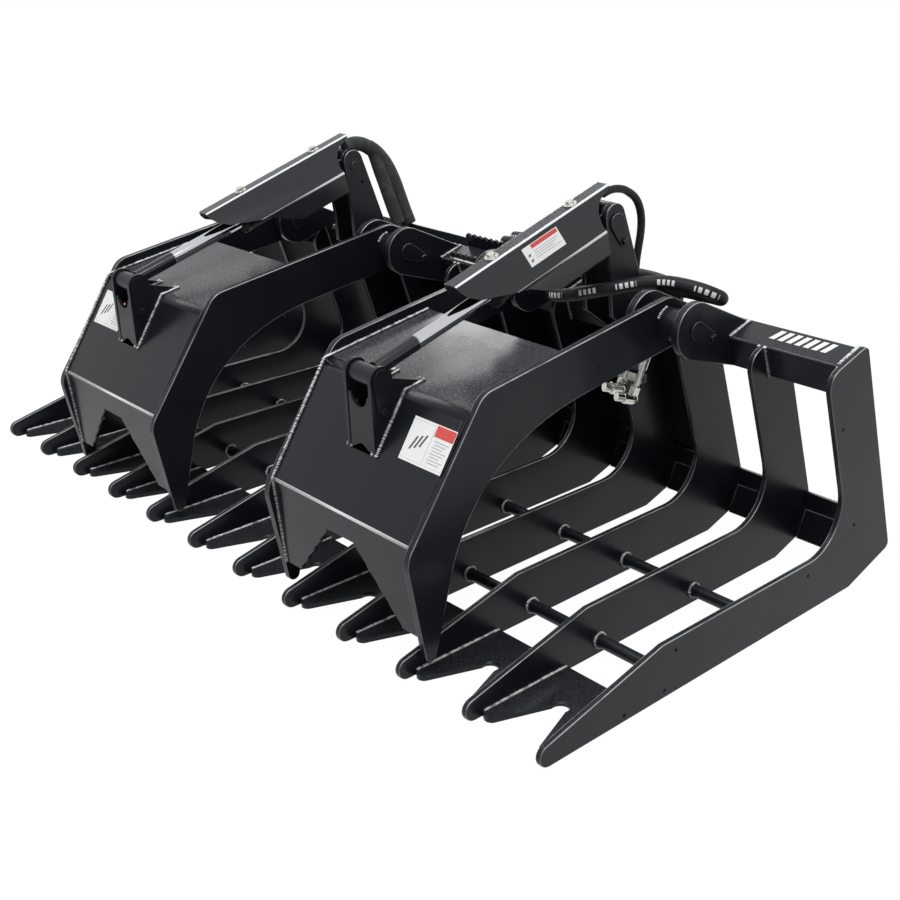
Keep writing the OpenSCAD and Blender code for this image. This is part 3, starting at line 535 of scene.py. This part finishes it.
def tubeMesh(name, line, radius, around=20):
    bm = bmesh.new()
    uv = bm.loops.layers.uv.new("along")
    normal = (line[1] - line[0]).orthogonal().normalized()
    rings, lengths, run = [], [], 0.0
    for i, point in enumerate(line):
        tangent = (line[min(i + 1, len(line) - 1)] - line[max(i - 1, 0)]).normalized()
        normal = (normal - tangent * normal.dot(tangent)).normalized()
        other = tangent.cross(normal)
        run += (point - line[i - 1]).length if i else 0
        lengths.append(run)
        rings.append([bm.verts.new(point + radius * (math.cos(a) * normal + math.sin(a) * other))
                      for a in (2 * math.pi * k / around for k in range(around))])
    for i in range(len(rings) - 1):
        for k in range(around):
            n = (k + 1) % around
            face = bm.faces.new((rings[i][k], rings[i][n], rings[i + 1][n], rings[i + 1][k]))
            face.smooth = True
            for loop, (u, v) in zip(face.loops, ((k, i), (k + 1, i), (k + 1, i + 1), (k, i + 1))):
                loop[uv].uv = (u / around, lengths[v])
    bm.faces.new(list(reversed(rings[0])))
    bm.faces.new(rings[-1])
    bmesh.ops.recalc_face_normals(bm, faces=bm.faces)
    mesh = bpy.data.meshes.new(name)
    bm.to_mesh(mesh)
    bm.free()
    return mesh


hoses = {
    "feed_hose": {"diameter": 30, "material": "printedHose", "route": [
        (-60, 985, 560), (40, 965, 574), (150, 950, 582), (230, 940, 588), (282, 922, 594), (312, 890, 596),
        (326, 850, 590), (334, 806, 577), (340, 762, 564), (352, 722, 557), (376, 694, 557), (410, 682, 562),
        (450, 680, 572), (500, 689, 587), (553, 705, 602), (604, 735, 616), (655, 759, 623), (700, 768, 623),
        (735, 777, 619), (756, 790, 611), (762, 806, 602), (750, 822, 593), (724, 832, 589), (680, 838, 586),
        (630, 844, 583), (590, 856, 580), (558, 874, 578), (525, 890, 576), (470, 896, 575), (390, 895, 570.8),
        (300, 896, 570.2), (200, 905, 570.1), (60, 930, 566.9), (-60, 950, 554.9)]},
    "cylinder_hose_right": {"diameter": 18, "material": "hoseRubber", "route": [
        (484, 824, 780), (484, 841, 768), (484, 854, 752), (484, 863, 730), (484, 866, 706), (484, 864, 680),
        (484, 858, 652), (484, 852, 622), (484, 849, 592), (484, 849, 562), (484, 850, 534)]},
    "cylinder_hose_left": {"diameter": 40, "material": "sleeve", "route": [
        (-450, 819, 768), (-448, 836, 756), (-444, 852, 738), (-438, 868, 711), (-430, 881, 674),
        (-422, 890, 635), (-414, 898, 597), (-406.5, 909.3, 555.4)]},
}
# the ends that turn with the cylinders, from under the guard to where the fixed hoses begin
hoseEnds = {
    "cylinder_right": {"diameter": 17.4, "material": "hoseRubber", "route": [
        (484, 741, 789), (484, 757, 793), (484, 775, 794.5), (484, 795, 792), (484, 811, 787),
        (484, 825, 779.2)]},
    "cylinder_left": {"diameter": 38, "material": "sleeve", "route": [
        (-453, 744, 778), (-453, 760, 781), (-452, 780, 782), (-451, 800, 777.5), (-450, 820, 767.3)]},
}
for name, hose in hoses.items():
    line = smoothRoute([at(*p) for p in hose["route"]])
    piece = newPiece(name + "_smooth", tubeMesh(name, line, hose["diameter"] / 2000), [hose["material"]],
                     "frame")
    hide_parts(name)
for body, hose in hoseEnds.items():
    line = smoothRoute([at(*p) for p in hose["route"]])
    newPiece("hose_end_" + body, tubeMesh(body, line, hose["diameter"] / 2000), [hose["material"]],
             body)
# the sleeve is wide: a second hose runs in it, next to the tower
innerHose = {"diameter": 36, "route": [
    (-449, 834, 755), (-443, 838, 733), (-436, 842, 706), (-428, 849, 672), (-420, 856, 636), (-412, 864, 598),
    (-405, 874, 562)]}
line = smoothRoute([at(*p) for p in innerHose["route"]])
newPiece("sleeve_inner_hose", tubeMesh("sleeveInner", line, innerHose["diameter"] / 2000), ["sleeve"],
         "frame")
print("hoses run")


# weld beads, made by one geometry tree that follows curves, coloured with a painted highlight on their upper
# faces
bead = {"spacing": 3.6, "width": 4.6, "height": 0.75, "tubeSpacing": 4.4, "tubeWidth": 5.2}


def weldTree():
    tree = bpy.data.node_groups.new("weldBead", "GeometryNodeTree")
    tree.interface.new_socket("Geometry", in_out="INPUT", socket_type="NodeSocketGeometry")
    ids = {}
    for label, value in (("Spacing", 0.004), ("Width", 0.005), ("Height", 0.6)):
        socket = tree.interface.new_socket(label, in_out="INPUT", socket_type="NodeSocketFloat")
        socket.default_value = value
        ids[label] = socket.identifier
    paint = tree.interface.new_socket("Material", in_out="INPUT", socket_type="NodeSocketMaterial")
    ids["Material"] = paint.identifier
    tree.interface.new_socket("Geometry", in_out="OUTPUT", socket_type="NodeSocketGeometry")
    given, out = tree.nodes.new("NodeGroupInput"), tree.nodes.new("NodeGroupOutput")
    points = add(tree, "GeometryNodeCurveToPoints", mode="LENGTH")
    scale = add(tree, "GeometryNodeMeshUVSphere", {"Segments": 8, "Rings": 5})
    wobble = add(tree, "FunctionNodeRandomValue", {"Seed": 7}, data_type="FLOAT")
    wobble.inputs[2].default_value = 0.82
    wobble.inputs[3].default_value = 1.12
    flat = add(tree, "ShaderNodeCombineXYZ", {"X": 1.0, "Y": 1.0})
    size = add(tree, "ShaderNodeVectorMath", operation="SCALE")
    spread = add(tree, "GeometryNodeInstanceOnPoints")
    real = add(tree, "GeometryNodeRealizeInstances")
    smooth = add(tree, "GeometryNodeSetShadeSmooth")
    coat = add(tree, "GeometryNodeSetMaterial")
    join(tree, (given.outputs["Geometry"], points.inputs["Curve"]),
         (given.outputs["Spacing"], points.inputs["Length"]),
         (given.outputs["Width"], scale.inputs["Radius"]),
         (points.outputs["Points"], spread.inputs["Points"]),
         (scale.outputs["Mesh"], spread.inputs["Instance"]),
         (points.outputs["Rotation"], spread.inputs["Rotation"]),
         (given.outputs["Height"], flat.inputs["Z"]), (flat.outputs["Vector"], size.inputs[0]),
         (wobble.outputs[1], size.inputs["Scale"]), (size.outputs["Vector"], spread.inputs["Scale"]),
         (spread.outputs["Instances"], real.inputs["Geometry"]),
         (real.outputs["Geometry"], smooth.inputs["Geometry"]),
         (smooth.outputs["Geometry"], coat.inputs["Geometry"]),
         (given.outputs["Material"], coat.inputs["Material"]),
         (coat.outputs["Geometry"], out.inputs["Geometry"]))
    return tree, ids


weldNodes, weldIds = weldTree()


def weldPiece(name, lines, body, spacing=bead["spacing"], width=bead["width"]):
    curve = bpy.data.curves.new(name, "CURVE")
    curve.dimensions = "3D"
    for line in lines:
        spline = curve.splines.new("POLY")
        spline.points.add(len(line) - 1)
        for point, place in zip(spline.points, line):
            point.co = (*place, 1)
    path = bpy.data.objects.new(name + "_path", curve)
    bpy.context.scene.collection.objects.link(path)
    laid = path.modifiers.new("bead", "NODES")
    laid.node_group = weldNodes
    laid[weldIds["Spacing"]] = spacing / 1000
    laid[weldIds["Width"]] = width / 1000
    laid[weldIds["Height"]] = bead["height"]
    # the bead material carries a painted highlight
    laid[weldIds["Material"]] = materials["weldPaintWithHighlight"]
    graph = bpy.context.evaluated_depsgraph_get()
    mesh = bpy.data.meshes.new_from_object(path.evaluated_get(graph))
    bpy.data.objects.remove(path)
    return newPiece(name, mesh, ["weldPaintWithHighlight"], body)


def ringLine(x, centre, radius, start=0, end=360, steps=24):
    angles = [math.radians(start + (end - start) * k / steps) for k in range(steps + 1)]
    return [at(x, centre[0] + radius * math.cos(a), centre[1] + radius * math.sin(a)) for a in angles]


# where the beads lie, in millimetres: off is how far a bead's middle stands off its plate
seams = {"off": 1.5, "edgeFront": 26, "edgeBack": 3, "coverEdge": -221, "hub": 238, "hubRadius": 36,
         "hubArc": (100, 150), "hubSteps": 8, "earRun": (128, 268), "earFoot": (206, 513), "step": 122}
cover = [(27, 84), grapple["fold"], grapple["coverTop"], (438, 549)]
# faces of the clevis ears from the lid's middle, and the way their bead stands off
earFaces = ((-44, -1.5), (-34.5, 1.5), (34.5, -1.5), (44, 1.5))
# faces of the tower and of the hinge brackets from the lid's middle, and how far the bead stays clear of the
# tube's front and rear edge
tubePlates = ((-46, 46, 0, 34), (-315, -296, 0, 10), (296, 315, 0, 10), (170, 189, 8, 10), (-189, -170, 8, 10))


def tineFaces(i):
    # the end plates have beads on their inner faces alone
    left = tineLeft(i)
    faces = [(left, -1), (left + grapple["tineThick"], 1)]
    return [(x, out) for x, out in faces
            if not (i == 1 and out > 0) and not (i == grapple["tineCount"] and out < 0)]


def floorWelds():
    # both sides of every tine on the toothed edge, and round both cross bars
    lines = []
    top = grapple["edgeTop"]
    for i in range(1, grapple["tineCount"] + 1):
        for x, out in tineFaces(i):
            beside = x + out * seams["off"]
            lines.append([at(beside, seams["edgeFront"], top),
                          at(beside, grapple["edgeRear"] - seams["edgeBack"], top)])
            for bar in (grapple["frontBar"], grapple["middleBar"]):
                lines.append(ringLine(x + out, bar, grapple["barD"] / 2 + 1))
    return lines


def tubeWelds():
    # tines, end plates, brackets, towers and step on the square tube
    lines = []
    front, rear = grapple["tubeS"], grapple["tubeS"] + grapple["tubeSide"]
    high, low = grapple["tubeT"], grapple["tubeT"] - grapple["tubeSide"]
    for i in range(1, grapple["tineCount"] + 1):
        for x, out in tineFaces(i):
            lines.append([leaning(x + out, front - 1, low + 4), leaning(x + out, front - 1, high - 4)])
            if i in (1, grapple["tineCount"]):
                beside = x + out * seams["off"]
                lines.append([leaning(beside, front + 3, high + 1), leaning(beside, rear - 3, high + 1)])
    for side in sides.values():
        for near, far, clearFront, clearRear in tubePlates:
            for x, out in ((near, -1), (far, 1)):
                beside = side * lidX + x + out * seams["off"]
                lines.append([leaning(beside, front + clearFront, high + 1),
                              leaning(beside, rear - clearRear, high + 1)])
    lines.append([leaning(x, front + 6, high + 1) for x in (-seams["step"], seams["step"])])
    return lines


def lidWelds(side):
    # along the cover's left edge, a short arc at the upper front of each hinge hub that serves as a painted
    # highlight, and on both faces of the clevis ears
    middle = sides[side] * lidX
    lines = [[at(middle + seams["coverEdge"], y - 1, z + 1) for y, z in cover]]
    for across in (-seams["hub"], seams["hub"]):
        lines.append(ringLine(middle + across, grapple["hinge"], seams["hubRadius"], *seams["hubArc"],
                              seams["hubSteps"]))
    for ear, out in earFaces:
        beside = middle + ear + out
        lines.append([onFacet(beside, s, 1) for s in seams["earRun"]] + [at(beside, *seams["earFoot"])])
    return lines


for side in sides:
    weldPiece("lid_welds_" + side, lidWelds(side), "lid_" + side)
weldPiece("floor_welds", floorWelds(), "frame")
weldPiece("tube_welds", tubeWelds(), "frame", bead["tubeSpacing"], bead["tubeWidth"])
print("welds laid")


# decals: thin vinyl with plain blocks, stripes and lines. A patch is its four corners, its thickness in
# millimetres and its colour
decalColours = ("vinylWhite", "vinylRed", "vinylInk", "vinylGrey")
white, red, ink, grey = range(len(decalColours))
vinyl, printed = 0.3, 0.5


def patch(bm, corners, thick, index):
    # a thin closed panel on the four corners, raised along their normal
    normal = (corners[1] - corners[0]).cross(corners[3] - corners[0]).normalized()
    low = [bm.verts.new(c) for c in corners]
    high = [bm.verts.new(c + normal * thick / 1000) for c in corners]
    faces = [bm.faces.new(high), bm.faces.new(list(reversed(low)))]
    for k in range(4):
        n = (k + 1) % 4
        faces.append(bm.faces.new((low[k], low[n], high[n], high[k])))
    for face in faces:
        face.material_index = index


def decal(name, place, patches, body):
    # the corners of each patch are in the decal's own two directions
    bm = bmesh.new()
    for corners, thick, index in patches:
        patch(bm, [place(u, v) for u, v in corners], thick, index)
    mesh = bpy.data.meshes.new(name)
    bm.to_mesh(mesh)
    bm.free()
    newPiece(name, mesh, decalColours, body)


def block(u0, u1, v0, v1, thick, index, slant=0):
    return (((u0, v0), (u1, v0), (u1 + slant, v1), (u0 + slant, v1)), thick, index)


def lidDecal():
    # right: a red band over grey lines. Left: three slanted bars and a rule. Dashes run above and below.
    parts = [block(0, 123, 0, 87, vinyl, white), block(68, 122, 63, 85, printed, red)]
    parts += [block(74 + 3 * (k % 2), 116 - 6 * (k % 3), 54 - 6 * k, 56.2 - 6 * k, printed, grey)
              for k in range(8)]
    parts += [block(4 + 8 * k, 8 + 8 * k, 81.5, 82.6, printed, grey) for k in range(8)]
    parts += [block(4 + 8 * k, 8 + 8 * k, 4.5, 5.6, printed, grey) for k in range(15)]
    parts += [block(64, 65.2, 8, 80, printed, grey)]
    parts += [block(16 + 12 * k, 21 + 12 * k, 24 + 5 * k, 52 + 4 * k, printed, ink, slant=10) for k in range(3)]
    return parts


def guardDecal():
    # a red band over four grey lines, and two short bars at their left
    parts = [block(0, 104, 0, 42, vinyl, white), block(24, 101, 32, 40.5, printed, red)]
    parts += [block(6, 12, 8 + 12 * k, 13 + 12 * k, printed, ink, slant=3) for k in range(2)]
    parts += [block(24, 96 - 9 * (k % 3), 25 - 5 * k, 26.6 - 5 * k, printed, grey) for k in range(4)]
    return parts


def guardSlope(side):
    # u runs back along the guard from its front end, v up the slope
    (x0, y0), (x1, y1) = grapple["ridge"], grapple["flangeFold"]
    slope = math.hypot(x1 - x0, y1 - y0)

    def place(u, v):
        share = (54 - v) / slope
        return onGuard(side, x0 + share * (x1 - x0) + 0.06, y0 + share * (y1 - y0) + 0.03, 253 - u)
    return place


def onLid(left):
    return lambda u, v: onFacet(left + u, 144 + v, 0.02)


def onTube(u, v):
    return leaning(u, grapple["tubeS"] + v, grapple["tubeT"] + 0.02)


decal("lid_decal_right", onLid(571), lidDecal(), "lid_right")
decal("lid_decal_left", onLid(-668), lidDecal(), "lid_left")
decal("guard_decal_right", guardSlope(sides["right"]), guardDecal(), "cylinder_right")
stripes = [block(864 + 21 * k, 877 + 21 * k, 29, 63, vinyl, white, slant=9) for k in range(7)]
decal("tube_stripes", onTube, stripes, "frame")
print("decals placed")


# floor, light and world. The floor glows for the camera and keeps a little of the shadow: the glow's share
# leaves that much of the lit surface
stage = {"floorGlow": 1.035, "glowShare": 0.94, "floorSize": 30, "floorGap": 0.0006, "seen": 1.0, "lit": 0.5}
lamps = {
    "overhead": {"place": (0.4, -0.8, 3.6), "target": (0, 0, 0.3), "size": (3.0, 1.0), "power": 66},
    "leftRear": {"place": (-1.45, 1.5, 1.8), "target": (0.5, -0.1, 0.5), "size": (0.8, 0.3), "power": 6.5},
}


def makeStage():
    material, tree, shader, place = newMaterial("paleFloor")
    shader.inputs["Base Color"].default_value = (0.86, 0.86, 0.86, 1)
    shader.inputs["Roughness"].default_value = 0.9
    glow = add(tree, "ShaderNodeEmission", {"Color": (1, 1, 1, 1), "Strength": stage["floorGlow"]})
    mix = add(tree, "ShaderNodeMixShader")
    light = add(tree, "ShaderNodeLightPath")
    either = add(tree, "ShaderNodeMath", operation="MAXIMUM")
    share = add(tree, "ShaderNodeMath", {1: stage["glowShare"]}, operation="MULTIPLY")
    surface = [n for n in tree.nodes if n.type == "OUTPUT_MATERIAL"][0]
    join(tree, (light.outputs["Is Camera Ray"], either.inputs[0]),
         (light.outputs["Is Glossy Ray"], either.inputs[1]), (either.outputs["Value"], share.inputs[0]),
         (share.outputs["Value"], mix.inputs["Fac"]), (shader.outputs["BSDF"], mix.inputs[1]),
         (glow.outputs["Emission"], mix.inputs[2]), (mix.outputs["Shader"], surface.inputs["Surface"]))
    bm = bmesh.new()
    bmesh.ops.create_grid(bm, x_segments=1, y_segments=1, size=stage["floorSize"])
    mesh = bpy.data.meshes.new("floor")
    bm.to_mesh(mesh)
    bm.free()
    mesh.materials.append(material)
    floor = bpy.data.objects.new("floor", mesh)
    floor.location.z = -stage["floorGap"]
    bpy.context.scene.collection.objects.link(floor)


def makeLamp(name, place, target, size, power):
    data = bpy.data.lights.new(name, "AREA")
    data.shape = "RECTANGLE"
    data.size, data.size_y = size
    data.energy = power
    lamp = bpy.data.objects.new(name, data)
    lamp.location = place
    lamp.rotation_euler = (Vector(target) - Vector(place)).to_track_quat("-Z", "Y").to_euler()
    bpy.context.scene.collection.objects.link(lamp)


def makeWorld():
    world = bpy.data.worlds.new("studio")
    world.use_nodes = True
    tree = world.node_tree
    tree.nodes.clear()
    seen = add(tree, "ShaderNodeBackground", {"Color": (1, 1, 1, 1), "Strength": stage["seen"]})
    lit = add(tree, "ShaderNodeBackground", {"Color": (1, 1, 1, 1), "Strength": stage["lit"]})
    light = add(tree, "ShaderNodeLightPath")
    either = add(tree, "ShaderNodeMath", operation="MAXIMUM")
    anySeen = add(tree, "ShaderNodeMath", operation="MAXIMUM")
    mix = add(tree, "ShaderNodeMixShader")
    out = add(tree, "ShaderNodeOutputWorld")
    join(tree, (light.outputs["Is Camera Ray"], either.inputs[0]),
         (light.outputs["Is Glossy Ray"], either.inputs[1]), (either.outputs["Value"], anySeen.inputs[0]),
         (light.outputs["Is Transmission Ray"], anySeen.inputs[1]),
         (anySeen.outputs["Value"], mix.inputs["Fac"]), (lit.outputs["Background"], mix.inputs[1]),
         (seen.outputs["Background"], mix.inputs[2]), (mix.outputs["Shader"], out.inputs["Surface"]))
    bpy.context.scene.world = world


makeStage()
for name, lamp in lamps.items():
    makeLamp(name, **lamp)
makeWorld()
bpy.context.scene.view_settings.view_transform = "Standard"
print("stage lit")
